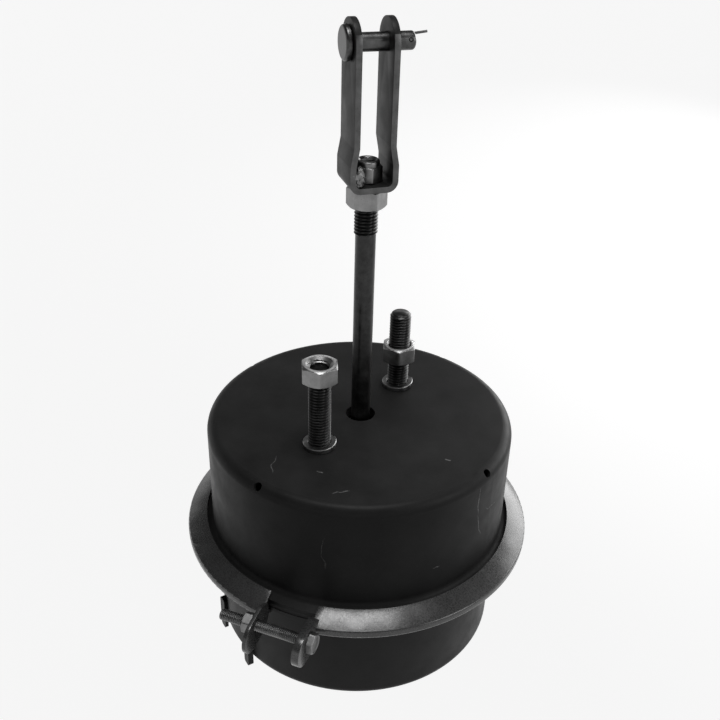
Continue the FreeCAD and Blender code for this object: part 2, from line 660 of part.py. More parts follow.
def port_slab(start, end, bore):
    """Oval slab across the port's axis, between two distances from the chamber's axis."""
    away, along = outward(PORT_BEARING), sideways(PORT_BEARING)
    slab = extruded(port_outline(), lambda u, v: away * start + along * u + UP * (v + PORT_Z),
                    away * (end - start))
    drill = away * (start - WALL) + UP * PORT_Z
    return slab.cut(cylinder(bore, end - start + 2 * WALL, drill, away))


def screw_places():
    for side in (-1, 1):
        yield sideways(PORT_BEARING) * (side * PORT_SCREW_SPACING / 2) + UP * PORT_Z


def port_pad():
    """Pad welded to the lower wall, with a hollow back that follows the wall."""
    away = outward(PORT_BEARING)
    start = math.sqrt(LOWER_RADIUS ** 2 - PORT_HALF_LENGTH ** 2) - WALL
    pad = port_slab(start, PORT_PAD_FACE, PORT_BORE)
    pad = pad.cut(cylinder(2 * LOWER_RADIUS, JOINT_Z - FLOOR_Z, UP * FLOOR_Z))
    holes = [cylinder(M5, PORT_PAD_FACE, place, away) for place in screw_places()]
    return pad.cut(holes)


def port_gasket():
    away = outward(PORT_BEARING)
    gasket = port_slab(PORT_PAD_FACE, PORT_PAD_FACE + PORT_GASKET, PORT_BORE)
    return gasket.cut([cylinder(M5 + 2 * FIT, 2 * PORT_FACE, place, away) for place in screw_places()])


def port_plate():
    away = outward(PORT_BEARING)
    plate = port_slab(PORT_PAD_FACE + PORT_GASKET, PORT_FACE, PORT_BORE)
    return plate.cut([cylinder(M5 + 2 * FIT, 2 * PORT_FACE, place, away) for place in screw_places()])


def port_screws():
    away = outward(PORT_BEARING)
    wall_face = math.sqrt(LOWER_RADIUS ** 2 - (PORT_SCREW_SPACING / 2 - M5 / 2) ** 2)
    length = PORT_FACE - wall_face - CLEAR
    screw = chamfered_rod(M5 - 2 * THREAD_FIT, -length, 0, 0, 0)
    screw = screw.fuse(hexagon(M5_FLATS, M5_HEAD, False)).removeSplitter()
    return Part.makeCompound([placed(screw, place + away * PORT_FACE, away, PORT_SCREW_TURN)
                              for place in screw_places()])


# Lugs at the lower edge

def edge_lugs():
    """Two upright strips welded to the lower wall, which end below the bottom."""
    away, along = outward(LUG_BEARING), sideways(LUG_BEARING)
    half = LUG_WIDTH / 2
    top, end = FLOOR_Z + LUG_RISE, FLOOR_Z - LUG_DROP
    corners = [(half, top, LUG_ROUND), (-half, top, LUG_ROUND), (-half, end, LUG_ROUND),
               (half, end, LUG_ROUND)]
    back = math.sqrt(LOWER_RADIUS ** 2 - (LUG_SPACING / 2 + half) ** 2)
    front = math.sqrt((LOWER_RADIUS + LUG_SHEET) ** 2 - (LUG_SPACING / 2) ** 2)
    wall = cylinder(2 * LOWER_RADIUS, top - end, UP * end)
    lugs = []
    for side in (-1, 1):
        centre = along * (side * LUG_SPACING / 2)
        strip = extruded(corners, lambda u, z: centre + away * back + along * u + UP * z,
                         away * (front - back))
        lugs.append(strip.cut(wall))
    return Part.makeCompound(lugs)


NODES = {
    "upper_housing": upper_housing(),
    "lower_housing": lower_housing(),
    "stud_plate": stud_plate(),
    "mounting_stud_front": mounting_stud(-1),
    "mounting_stud_rear": mounting_stud(1),
    "split_washer_front": split_washer(-1, FRONT_SLIT_BEARING),
    "split_washer_rear": split_washer(1, REAR_SLIT_BEARING),
    "mounting_nut_front": mounting_nut(-1, FRONT_NUT_BASE, corner_spin(FRONT_NUT_CORNER)),
    "mounting_nut_rear": mounting_nut(1, REAR_NUT_BASE, corner_spin(REAR_NUT_CORNER)),
    "clamp_band": clamp_band(),
    "clamp_bolt": clamp_bolt(),
    "clamp_nut": clamp_nut(),
    "diaphragm": diaphragm(),
    "upper_diaphragm_plate": upper_diaphragm_plate(),
    "lower_diaphragm_plate": lower_diaphragm_plate(),
    "upper_spring_seat": spring_seat(SEAT_TOP, -1, M12 / 2 + FIT),
    "lower_spring_seat": spring_seat(FLOOR_Z + WALL, 1, SPRING_RADIUS / 2),
    "return_spring": return_spring(),
    "push_rod": push_rod(),
    "rod_upper_nut": placed(nut(M12_FLATS, M12_THIN_NUT, M12), UP * PISTON_TOP),
    "rod_lower_nut": placed(nut(M12_FLATS, M12_NUT, M12), UP * (LOWER_NUT_TOP - M12_NUT)),
    "clevis_jam_nut": placed(nut(M12_FLATS, M12_NUT, M12), UP * JAM_NUT_BASE, UP,
                             corner_spin(JAM_NUT_CORNER)),
    "clevis": clevis(),
    "clevis_lock_nut": clevis_lock_nut(),
    "clevis_pin": clevis_pin(),
    "cotter_pin": cotter_pin(),
    "port_pad": port_pad(),
    "port_gasket": port_gasket(),
    "port_plate": port_plate(),
    "port_screws": port_screws(),
    "edge_lugs": edge_lugs(),
}

os.makedirs("parts", exist_ok=True)
for name, shape in NODES.items():
    shape.exportStep("parts/" + name + ".step")
    solids = len(shape.Solids)
    print(name, "solids", solids, "valid", shape.isValid(), "volume mm3", round(shape.Volume, 1))
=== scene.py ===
import math
import bmesh
import bpy
from mathutils import Matrix, Vector, noise


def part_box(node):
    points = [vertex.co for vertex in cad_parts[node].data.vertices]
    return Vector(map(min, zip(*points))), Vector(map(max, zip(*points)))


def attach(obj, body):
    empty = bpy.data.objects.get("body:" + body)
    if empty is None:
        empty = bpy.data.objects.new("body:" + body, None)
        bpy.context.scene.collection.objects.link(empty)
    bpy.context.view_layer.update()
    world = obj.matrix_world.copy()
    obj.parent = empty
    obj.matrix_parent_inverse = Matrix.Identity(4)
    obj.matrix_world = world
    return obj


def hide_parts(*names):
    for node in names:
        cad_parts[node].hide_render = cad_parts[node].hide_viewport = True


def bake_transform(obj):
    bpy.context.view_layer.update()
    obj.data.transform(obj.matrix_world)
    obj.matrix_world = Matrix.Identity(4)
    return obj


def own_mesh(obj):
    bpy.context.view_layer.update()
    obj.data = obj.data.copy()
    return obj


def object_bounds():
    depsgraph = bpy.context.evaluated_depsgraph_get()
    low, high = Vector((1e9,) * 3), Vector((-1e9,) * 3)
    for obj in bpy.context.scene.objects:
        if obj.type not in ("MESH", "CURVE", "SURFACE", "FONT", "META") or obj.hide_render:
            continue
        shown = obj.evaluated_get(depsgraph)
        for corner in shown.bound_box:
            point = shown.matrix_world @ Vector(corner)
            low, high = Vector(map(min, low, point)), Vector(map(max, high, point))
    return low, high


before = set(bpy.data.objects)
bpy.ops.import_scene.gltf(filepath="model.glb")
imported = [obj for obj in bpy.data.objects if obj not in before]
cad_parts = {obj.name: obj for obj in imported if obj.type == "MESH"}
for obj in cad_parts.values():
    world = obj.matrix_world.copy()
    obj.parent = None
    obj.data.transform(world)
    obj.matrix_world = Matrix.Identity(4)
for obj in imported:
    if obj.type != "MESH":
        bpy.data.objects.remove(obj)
CAD_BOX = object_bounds()

# Sizes are in millimetres until mesh_piece() turns them into metres. Bearings are counted about Z from
# -Y towards +X, as in the solids.
MM = 0.001
UP = Vector((0, 0, 1))

# The photograph's camera
CAMERA_BEARING = 32.5
CAMERA_HEIGHT = 31.57          # degrees above the mounting face
CAMERA_ROLL = 2.34
CAMERA_REACH = 524.9           # mm from the origin along the view
CAMERA_RIGHT = 10.64           # mm across the view
CAMERA_UP = 20.45
FOCAL_PIXELS = 936.0
PHOTO_WIDTH = 720.0
PHOTO_CENTRE = (379.4, 376.3)  # where the lens's axis meets the photograph
SENSOR = 36.0

# Sizes shared with the solids
STUD_SPACING = 76.2
STUD_REACH = 47.5
M12, M12_PITCH, M12_FLATS, M12_NUT = 12.0, 1.75, 18.0, 10.0
M8, M8_PITCH, M8_FLATS = 8.0, 1.25, 13.0
M6, M6_PITCH, M6_FLATS, M6_NUT, M6_HEAD = 6.0, 1.0, 10.0, 5.0, 3.6
FRONT_NUT_BASE, FRONT_NUT_CORNER = 40.5, 38.0
REAR_NUT_BASE, REAR_NUT_CORNER = 17.5, 32.0
JAM_NUT_BASE, JAM_NUT_CORNER = 122.7, 2.5
LOCK_NUT_CORNER = 55.0
CLEVIS_BEARING = 142.5
GAP_BEARING = 12.8
CLAMP_BOLT_RADIUS, CLAMP_BOLT_DEPTH = 106.0, 69.5
HEAD_SEAT, NUT_SEAT = 16.7, 14.7   # gap's middle to the outer faces of the right and the left ear
WALL_RADIUS = 85.0             # upper housing's outer wall
STUD_FOOT, STUD_HEAD = -6.0, 7.5
WASHER_OUTER, WASHER_SHEET, WASHER_SLIT, WASHER_RISE, WASHER_FIT = 8.9, 2.5, 1.6, 0.9, 0.1
FRONT_SLIT, REAR_SLIT = 160.0, 150.0
SHANK, SHANK_DIAMETER = (-6.0, 107.6), 10.5
LOW_THREAD_END = -6.8
HIGH_THREAD = (108.5, 132.2)
LOCK_NUT, LOCK_COLLAR = 8.0, (11.8, 2.7)
FORK_FLOOR = 135.7
RIM_JOINT = -70.0              # height at which the two rims meet
RUBBER_SHEET = 2.5
SCREW_REACH, SCREW_PLAIN = 50.0, 2.0


def outward(bearing):
    angle = math.radians(bearing)
    return Vector((math.sin(angle), -math.cos(angle), 0))


def sideways(bearing):
    angle = math.radians(bearing)
    return Vector((math.cos(angle), math.sin(angle), 0))


def smooth_step(low, high, value):
    share = min(max((value - low) / (high - low), 0.0), 1.0)
    return share * share * (3 - 2 * share)


# Materials

def add(tree, kind, inputs=None, **settings):
    """New node. Inputs are numbers, colours or the sockets they come from."""
    made = tree.nodes.new(kind)
    for name, value in settings.items():
        setattr(made, name, value)
    for name, value in (inputs or {}).items():
        if isinstance(value, bpy.types.NodeSocket):
            tree.links.new(value, made.inputs[name])
        else:
            made.inputs[name].default_value = value
    return made


def grey(value):
    return (value, value, value, 1.0)


def new_material(name):
    material = bpy.data.materials.new(name)
    material.use_nodes = True
    tree = material.node_tree
    tree.nodes.clear()
    return material, tree


def object_point(tree, stretch=(1, 1, 1)):
    where = add(tree, "ShaderNodeTexCoord").outputs["Object"]
    return add(tree, "ShaderNodeMapping", {"Vector": where, "Scale": stretch}).outputs["Vector"]


def mottle(tree, size_mm, stretch=(1, 1, 1), detail=4.0, roughness=0.6):
    """Noise of a feature size in millimetres, from 0 to 1."""
    inputs = {"Vector": object_point(tree, stretch), "Scale": 1 / (size_mm * MM), "Detail": detail,
              "Roughness": roughness}
    return add(tree, "ShaderNodeTexNoise", inputs).outputs["Fac"]


def between(tree, factor, low, high, start=0.0, end=1.0):
    """A value that goes from low to high as factor goes from start to end."""
    inputs = {"Value": factor, "From Min": start, "From Max": end, "To Min": low, "To Max": high}
    return add(tree, "ShaderNodeMapRange", inputs).outputs["Result"]


def maths(tree, operation, first, second=0.0):
    made = add(tree, "ShaderNodeMath", operation=operation)
    for socket, value in zip(made.inputs, (first, second)):
        if isinstance(value, bpy.types.NodeSocket):
            tree.links.new(value, socket)
        else:
            socket.default_value = value
    return made.outputs[0]


def mixed(tree, factor, first, second):
    made = add(tree, "ShaderNodeMix", data_type="RGBA")
    for name, value in (("Factor_Float", factor), ("A_Color", first), ("B_Color", second)):
        socket = next(item for item in made.inputs if item.identifier == name)
        if isinstance(value, bpy.types.NodeSocket):
            tree.links.new(value, socket)
        else:
            socket.default_value = value
    return next(item for item in made.outputs if item.identifier == "Result_Color")


def bumped(tree, layers):
    """Normal from layers of (height, strength, depth in mm)."""
    normal = None
    for height, strength, depth in layers:
        inputs = {"Height": height, "Strength": strength, "Distance": depth * MM}
        if normal is not None:
            inputs["Normal"] = normal
        normal = add(tree, "ShaderNodeBump", inputs).outputs["Normal"]
    return normal


def surface(tree, colour, roughness, normal, metallic=0.0, specular=0.5, coat=0.0, coat_roughness=0.1):
    shader = add(tree, "ShaderNodeBsdfPrincipled", {"Base Color": colour, "Roughness": roughness,
                                                    "Normal": normal, "Metallic": metallic,
                                                    "Specular IOR Level": specular, "Coat Weight": coat,
                                                    "Coat Roughness": coat_roughness})
    add(tree, "ShaderNodeOutputMaterial", {"Surface": shader.outputs["BSDF"]})


def vector_maths(tree, operation, first, second):
    return add(tree, "ShaderNodeVectorMath", {0: first, 1: tuple(second)}, operation=operation).outputs


def streak(tree, centre, direction, facing, length, width):
    """Thin scratch on the surface: 1 along a short line, 0 elsewhere. Sizes are in millimetres."""
    along = direction.normalized()
    across = facing.normalized().cross(along)
    where = add(tree, "ShaderNodeTexCoord").outputs["Object"]
    wobble = mottle(tree, length / 2, detail=1.0)
    offset = vector_maths(tree, "SUBTRACT", where, centre * MM)[0]
    run = vector_maths(tree, "DOT_PRODUCT", offset, along)["Value"]
    drift = vector_maths(tree, "DOT_PRODUCT", offset, across)["Value"]
    depth = vector_maths(tree, "DOT_PRODUCT", offset, facing.normalized())["Value"]
    bend = maths(tree, "MULTIPLY", maths(tree, "SUBTRACT", wobble, 0.5), length * 0.35 * MM)
    drift = maths(tree, "ABSOLUTE", maths(tree, "SUBTRACT", drift, bend))
    line = between(tree, drift, 1.0, 0.0, width * 0.3 * MM, width * MM)
    ends = between(tree, maths(tree, "ABSOLUTE", run), 1.0, 0.0, length * 0.35 * MM, length * 0.5 * MM)
    near = between(tree, maths(tree, "ABSOLUTE", depth), 1.0, 0.0, 3 * MM, 4 * MM)
    broken = between(tree, mottle(tree, 1.2, detail=2.0), 0.2, 1.0, 0.35, 0.6)
    return maths(tree, "MULTIPLY", maths(tree, "MULTIPLY", line, ends), maths(tree, "MULTIPLY", near, broken))


def black_paint(name, dark, light, gloss, scratches=()):
    """Satin black paint or scale on sheet, with dust, rubbed patches and a few scratches. A scratch is
    (centre, direction, facing, length, width, strength)."""
    material, tree = new_material(name)
    patches = mottle(tree, 34.0, detail=5.0)
    colour = mixed(tree, between(tree, patches, 0, 1, 0.3, 0.7), grey(dark), grey(light))
    dust = between(tree, mottle(tree, 0.9, detail=3.0), 0.0, 0.35, 0.62, 0.8)
    colour = mixed(tree, dust, colour, grey(light * 3))
    marks = None
    for centre, direction, facing, length, width, strength in scratches:
        mark = maths(tree, "MULTIPLY", streak(tree, centre, direction, facing, length, width), strength)
        marks = mark if marks is None else maths(tree, "MAXIMUM", marks, mark)
    if marks is not None:
        colour = mixed(tree, marks, colour, grey(0.30))
    roughness = between(tree, mottle(tree, 12.0, detail=5.0), 0.36, 0.50, 0.3, 0.7)
    normal = bumped(tree, [(mottle(tree, 26.0, detail=2.0), 0.35, 0.35),
                           (mottle(tree, 0.9, detail=3.0), 0.18, 0.05)])
    surface(tree, colour, roughness, normal, specular=gloss)
    return material


def plated(name, dark, light, rough_low, rough_high, grain=(1, 1, 1), bump=0.25):
    """Zinc plate or bare steel: cloudy, faintly spotted, with fine tool lines."""
    material, tree = new_material(name)
    clouds = mottle(tree, 5.0, detail=6.0)
    colour = mixed(tree, between(tree, clouds, 0, 1, 0.3, 0.7), grey(dark), grey(light))
    spots = between(tree, mottle(tree, 0.8, detail=3.0), 0.0, 0.6, 0.6, 0.75)
    colour = mixed(tree, spots, colour, grey(dark * 0.45))
    lines = mottle(tree, 0.5, stretch=grain, detail=2.0)
    roughness = between(tree, clouds, rough_low, rough_high, 0.3, 0.7)
    normal = bumped(tree, [(mottle(tree, 2.6, detail=3.0), bump, 0.12), (lines, bump * 0.7, 0.03)])
    surface(tree, colour, roughness, normal, metallic=1.0)
    return material


def band_enamel(name):
    """Glossy black over rolled steel: long uneven reflections with a grainy edge."""
    material, tree = new_material(name)
    clouds = mottle(tree, 16.0, detail=3.0)
    colour = mixed(tree, between(tree, clouds, 0, 1, 0.3, 0.7), grey(0.034), grey(0.058))
    specks = between(tree, mottle(tree, 0.6, detail=3.0), 0.0, 0.5, 0.48, 0.75)
    colour = mixed(tree, specks, colour, grey(0.13))
    roughness = between(tree, mottle(tree, 0.9, detail=3.0), 0.22, 0.36, 0.3, 0.7)
    normal = bumped(tree, [(mottle(tree, 7.0, detail=2.0), 0.3, 0.25),
                           (mottle(tree, 1.1, detail=4.0), 0.35, 0.06)])
    surface(tree, colour, roughness, normal, metallic=0.55, specular=0.4, coat=0.25, coat_roughness=0.16)
    return material


def rubber(name):
    material, tree = new_material(name)
    colour = mixed(tree, mottle(tree, 6.0), grey(0.012), grey(0.03))
    weave = mottle(tree, 0.6, detail=1.0)
    surface(tree, colour, between(tree, weave, 0.6, 0.8), bumped(tree, [(weave, 0.4, 0.08)]), specular=0.3)
    return material


def gasket_fibre(name):
    material, tree = new_material(name)
    colour = mixed(tree, mottle(tree, 1.5), grey(0.03), grey(0.09))
    surface(tree, colour, between(tree, mottle(tree, 0.8), 0.75, 0.95),
            bumped(tree, [(mottle(tree, 0.5), 0.5, 0.08)]), specular=0.2)
    return material


# Meshes

def mesh_piece(name, points, faces, material, place=None, sharp=38.0):
    """Object from points in millimetres, smooth apart from edges sharper than sharp degrees."""
    mesh = bpy.data.meshes.new(name)
    place = place or Matrix.Identity(4)
    mesh.from_pydata([tuple((place @ Vector(item)) * MM) for item in points], [], faces)
    piece = bpy.data.objects.new(name, mesh)
    bpy.context.scene.collection.objects.link(piece)
    finish_mesh(piece, sharp)
    mesh.materials.append(material)
    return piece


def finish_mesh(piece, sharp):
    work = bmesh.new()
    work.from_mesh(piece.data)
    bmesh.ops.remove_doubles(work, verts=work.verts, dist=1e-6)
    bmesh.ops.recalc_face_normals(work, faces=work.faces)
    work.to_mesh(piece.data)
    work.free()
    piece.data.shade_smooth()
    piece.data.set_sharp_from_angle(angle=math.radians(sharp))


def fasten(piece, body, slot, *nodes):
    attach(piece, body)
    if nodes:
        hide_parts(*nodes)


def skin(rows, columns, point_at, ring=False):
    """Points and faces of a skin round Z. ring joins the last row to the first, else both ends are closed."""
    points = [tuple(point_at(row, column / columns)) for row in range(rows) for column in range(columns)]
    faces = []
    for row in range(rows if ring else rows - 1):
        below, above = row * columns, (row + 1) % rows * columns
        for column in range(columns):
            beside = (column + 1) % columns
            faces.append((below + column, below + beside, above + beside, above + column))
    if not ring:
        faces.append(tuple(reversed(range(columns))))
        faces.append(tuple(range((rows - 1) * columns, rows * columns)))
    return points, faces


def at(radius, share, z):
    angle = 2 * math.pi * share
    return radius * math.cos(angle), radius * math.sin(angle), z


THREAD_STEPS = 8               # rows per turn of a thread


def thread_radius(diameter, pitch, z, share):
    """Radius of a 60 degree thread at a height and a share of a turn, for shafts and bores alike."""
    climb = 1 - abs(2 * ((z / pitch - share) % 1.0) - 1)
    ridge = min(max((climb - 0.2) / 0.65, 0.0), 1.0)
    return diameter / 2 - 0.6134 * pitch * (1 - ridge)


def shaft_rows(sections):
    """Heights of a stepped shaft. A section is (low, high, diameter, pitch or 0)."""
    rows = []
    for low, high, diameter, pitch in sections:
        steps = max(int((high - low) / pitch * THREAD_STEPS), 2) if pitch else 6
        rows += [(low + (high - low) * step / steps, diameter, pitch) for step in range(steps + 1)]
    return rows


def shaft(name, sections, material, place=None, chamfer=1.0):
    """Round bar along Z in sections, threaded where a section has a pitch, with chamfered ends."""
    columns = 64
    rows = shaft_rows(sections)
    low, high = sections[0][0], sections[-1][1]

    def point_at(row, share):
        z, diameter, pitch = rows[row]
        radius = thread_radius(diameter, pitch, z, share) if pitch else diameter / 2
        ends = diameter / 2 - chamfer + min(z - low, high - z, chamfer)
        return at(min(radius, ends), share, z)

    points, faces = skin(len(rows), columns, point_at)
    return mesh_piece(name, points, faces, material, place, sharp=50.0)


def hexagon_radius(flats, share):
    """Outline of a hexagon with slightly rounded corners. A corner is at share 0."""
    softness = 46
    total = sum(abs(math.cos(2 * math.pi * share - math.radians(30 + 60 * side))) ** softness
                for side in range(3))
    return flats / 2 / total ** (1 / softness)


def crown_heights(height, crown):
    """Heights for a nut's sides, close together at the chamfers."""
    low = [crown * step / 6 for step in range(7)]
    return low + [height - value for value in reversed(low)]


def crowned(flats, height, z, share, low_crown=True, high_crown=True):
    """Outer radius of a nut or head, cut back by a 30 degree cone at its ends."""
    rim = flats / 2 * 0.95
    radius = hexagon_radius(flats, share)
    if low_crown:
        radius = min(radius, rim + z / math.tan(math.radians(30)))
    if high_crown:
        radius = min(radius, rim + (height - z) / math.tan(math.radians(30)))
    return radius


def hex_nut(name, flats, height, diameter, pitch, material, place, base=0.0, corner=0.0, collar=None):
    """Hexagon nut with a threaded bore. base is its height on the thread and corner the angle of a corner.
    collar is (diameter, height) of a domed collar on top."""
    columns = 96
    shift = math.radians(corner) / (2 * math.pi)
    crown = flats * 0.07
    sink = 0.09 * diameter
    outer = [(z, "flat") for z in crown_heights(height, crown)]
    if collar:
        wide, tall = collar
        bulge = [(wide / 2, 0.0), (wide / 2, 0.55), (wide / 2 * 0.96, 0.8), (wide / 2 * 0.86, 0.97),
                 (wide / 2 * 0.76, 1.0)]
        outer += [(height + tall * share, radius) for radius, share in bulge]
        top = height + tall
    else:
        top = height
    steps = int(top / pitch * THREAD_STEPS)
    inner = [top - top * step / steps for step in range(steps + 1)]

    def point_at(row, share):
        if row < len(outer):
            z, kind = outer[row]
            radius = crowned(flats, height, z, share - shift) if kind == "flat" else kind
            return at(radius, share, base + z)
        z = inner[row - len(outer)]
        mouth = diameter / 2 + 0.05 + sink - min(z, top - z) * 1.2
        return at(max(thread_radius(diameter + 0.1, pitch, base + z, share), mouth), share, base + z)

    points, faces = skin(len(outer) + len(inner), columns, point_at, ring=True)
    return mesh_piece(name, points, faces, material, place, sharp=32.0)


def hex_head(name, flats, height, material, place, corner=0.0):
    """Bolt head on Z from z = 0, with a washer-faced underside and a slightly hollow top."""
    columns = 96
    shift = corner / 360
    rows = [(0.0, "ring", flats / 2 * 0.93), (0.25, "ring", flats / 2 * 0.93), (0.25, "side", 0)]
    rows += [(z, "side", 0) for z in crown_heights(height, flats * 0.07) if z > 0.3]
    rows += [(height, "ring", flats / 2 * 0.86), (height - 0.25, "ring", flats / 2 * 0.8),
             (height - 0.25, "ring", flats / 2 * 0.3)]

    def point_at(row, share):
        z, kind, radius = rows[row]
        if kind == "side":
            radius = crowned(flats, height, z, share - shift, low_crown=False)
        return at(radius, share, z)

    points, faces = skin(len(rows), columns, point_at)
    return mesh_piece(name, points, faces, material, place, sharp=32.0)


def lathe(name, outline, material, columns):
    """Closed outline of (radius, z) turned about Z."""
    def point_at(row, share):
        radius, z = outline[row]
        return at(radius, share, z)

    points, faces = skin(len(outline), columns, point_at, ring=True)
    return mesh_piece(name, points, faces, material)


def split_washer(name, inner, outer, thickness, slit, rise, slit_bearing, centre, material):
    """Spring washer: a square-section coil of just under one turn, with one end raised."""
    columns, corner = 120, 0.28
    section = [(inner + corner, 0), (outer - corner, 0), (outer, corner), (outer, thickness - corner),
               (outer - corner, thickness), (inner + corner, thickness), (inner, thickness - corner),
               (inner, corner)]
    start = math.radians(slit_bearing - 90)
    half = slit / outer / 2
    points, faces = [], []
    for step in range(columns + 1):
        share = step / columns
        for radius, z in section:
            lean = (thickness / 2 - z) * 0.55 / outer
            angle = start + half + (2 * math.pi - 2 * half) * share + lean
            height = z + rise * smooth_step(0.62, 1.0, share)
            points.append((radius * math.cos(angle), radius * math.sin(angle), height))
    count = len(section)
    for step in range(columns):
        for side in range(count):
            beside = (side + 1) % count
            faces.append((step * count + side, step * count + beside, (step + 1) * count + beside,
                          (step + 1) * count + side))
    faces.append(tuple(reversed(range(count))))
    faces.append(tuple(range(columns * count, (columns + 1) * count)))
    return mesh_piece(name, points, faces, material, Matrix.Translation(centre), sharp=30.0)


def softened(name, node, material, width):
    """Copy of a solid's mesh with its edges rounded by a real bevel, width in millimetres."""
    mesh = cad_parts[node].data.copy()
    mesh.name = name
    piece = bpy.data.objects.new(name, mesh)
    bpy.context.scene.collection.objects.link(piece)
    work = bmesh.new()
    work.from_mesh(mesh)
    bmesh.ops.remove_doubles(work, verts=work.verts, dist=2e-6)
    bmesh.ops.dissolve_limit(work, angle_limit=math.radians(0.8), verts=work.verts, edges=work.edges)
    edges = [edge for edge in work.edges
             if len(edge.link_faces) == 2 and edge.calc_face_angle() > math.radians(35)]
    bmesh.ops.bevel(work, geom=edges, offset=width * MM, segments=2, profile=0.6, affect="EDGES",
                    clamp_overlap=True)
    bmesh.ops.triangulate(work, faces=[face for face in work.faces if len(face.verts) > 4])
    work.to_mesh(mesh)
    work.free()
    mesh.materials.clear()
    mesh.materials.append(material)
    mesh.shade_smooth()
    mesh.set_sharp_from_angle(angle=math.radians(28))
    return piece


# Finishes

def on_wall(bearing, z):
    return outward(bearing) * WALL_RADIUS + UP * z


SCRATCHES = [
    (Vector((32.2, -63.6, 0)), Vector((6.2, 7.0, 0)), UP, 9.4, 0.35, 0.40),
    (Vector((-8.8, -65.9, 0)), Vector((-9.0, 13.4, 0)), UP, 16.0, 0.30, 0.25),
    (Vector((14.3, -56.9, 0)), Vector((5.0, 1.0, 0)), UP, 4.0, 0.45, 0.40),
    (Vector((62.0, -9.0, 0)), Vector((2.1, 0.5, 0)), UP, 3.5, 0.50, 0.50),
    (on_wall(81.3, -15.0), UP, outward(81.3), 19.0, 0.40, 0.55),
    (on_wall(83.1, -32.0), UP - sideways(83.1) * 0.28, outward(83.1), 18.0, 0.35, 0.50),
    (on_wall(90.5, -26.0), sideways(90.5) - UP * 0.22, outward(90.5), 14.0, 0.35, 0.45),
    (on_wall(22.5, -29.5), UP, outward(22.5), 22.0, 0.30, 0.22),
    (on_wall(63.2, -45.5), sideways(63.2), outward(63.2), 4.5, 0.50, 0.45),
]
PAINT = black_paint("housing_paint", 0.0095, 0.0175, 0.08, SCRATCHES)
LOWER_PAINT = black_paint("lower_paint", 0.0070, 0.0130, 0.12)
PAINT_INSIDE = black_paint("inner_paint", 0.02, 0.03, 0.2)
ZINC = plated("zinc", 0.17, 0.27, 0.30, 0.44)
# Painted highlight: a lighter copy of the zinc for the nuts' upward faces, standing in for the light that
# falls on them from above.
ZINC_PAINTED_HIGHLIGHT = plated("zinc_painted_highlight", 0.60, 0.85, 0.34, 0.48)
ZINC_DULL = plated("dull_zinc", 0.14, 0.24, 0.36, 0.52)
STUD_BLACK = plated("black_stud", 0.030, 0.055, 0.30, 0.45)
ROD_STEEL = plated("rod_steel", 0.024, 0.050, 0.28, 0.42, grain=(1, 1, 0.08))
CLEVIS_STEEL = black_paint("clevis_scale", 0.010, 0.020, 0.14)
SHEARED = plated("sheared_steel", 0.065, 0.12, 0.38, 0.55)
LOCK_STEEL = plated("lock_nut_steel", 0.13, 0.25, 0.30, 0.45)
PIN_STEEL = plated("pin_steel", 0.05, 0.11, 0.26, 0.40)
PLATE_STEEL = plated("plate_steel", 0.25, 0.36, 0.35, 0.5)
SPRING_STEEL = plated("spring_steel", 0.07, 0.14, 0.3, 0.45)
WELD = plated("weld_steel", 0.10, 0.24, 0.32, 0.52, bump=0.4)
BAND = band_enamel("band_enamel")
RUBBER_FINISH = rubber("diaphragm_rubber")
GASKET = gasket_fibre("gasket_fibre")

NODE_FINISH = {
    "upper_housing": PAINT, "lower_housing": LOWER_PAINT, "stud_plate": PAINT_INSIDE, "port_pad": PAINT,
    "port_plate": PAINT, "clamp_band": BAND, "port_gasket": GASKET, "port_screws": ZINC_DULL,
    "upper_diaphragm_plate": PLATE_STEEL, "lower_diaphragm_plate": PLATE_STEEL,
    "upper_spring_seat": PLATE_STEEL, "lower_spring_seat": PLATE_STEEL, "rod_upper_nut": ZINC,
    "rod_lower_nut": ZINC, "diaphragm": RUBBER_FINISH, "return_spring": SPRING_STEEL, "clevis": CLEVIS_STEEL,
    "clevis_pin": PIN_STEEL, "cotter_pin": PIN_STEEL, "edge_lugs": LOWER_PAINT,
}
for node, finish in NODE_FINISH.items():
    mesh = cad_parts[node].data
    mesh.materials.clear()
    mesh.materials.append(finish)


# Studs, washers and nuts

def face_finish_and_highlight(piece, finish, direction):
    """Gives the faces that look along a direction a finish of their own; on nut tops that finish is a painted
    highlight.
    """
    piece.data.materials.append(finish)
    for face in piece.data.polygons:
        if abs(face.normal.dot(direction)) > 0.9:
            face.material_index = 1


def mounting_group(name, side, nut_base, nut_corner, slit_bearing):
    centre = Vector((0, side * STUD_SPACING / 2, 0))
    place = Matrix.Translation(centre)
    stud = shaft("stud_" + name, [(STUD_FOOT, STUD_REACH, M12, M12_PITCH)], STUD_BLACK, place, chamfer=1.3)
    fasten(stud, "chamber", "black_stud")
    head = hex_head("stud_head_" + name, M12_FLATS, STUD_HEAD, STUD_BLACK,
                    place @ Matrix.Translation((0, 0, STUD_FOOT)) @ Matrix.Rotation(math.pi, 4, "X"))
    fasten(head, "chamber", "black_stud", "mounting_stud_" + name)
    nut = hex_nut("nut_" + name, M12_FLATS, M12_NUT, M12, M12_PITCH, ZINC, place, nut_base, nut_corner - 90)
    # Painted highlight: the nut's upward faces get the lighter zinc.
    face_finish_and_highlight(nut, ZINC_PAINTED_HIGHLIGHT, UP)
    fasten(nut, "chamber", "zinc", "mounting_nut_" + name)
    washer = split_washer("spring_washer_" + name, M12 / 2 + WASHER_FIT, WASHER_OUTER, WASHER_SHEET,
                          WASHER_SLIT, WASHER_RISE, slit_bearing, centre, ZINC)
    fasten(washer, "chamber", "zinc", "split_washer_" + name)


mounting_group("front", -1, FRONT_NUT_BASE, FRONT_NUT_CORNER, FRONT_SLIT)
mounting_group("rear", 1, REAR_NUT_BASE, REAR_NUT_CORNER, REAR_SLIT)

# Push rod

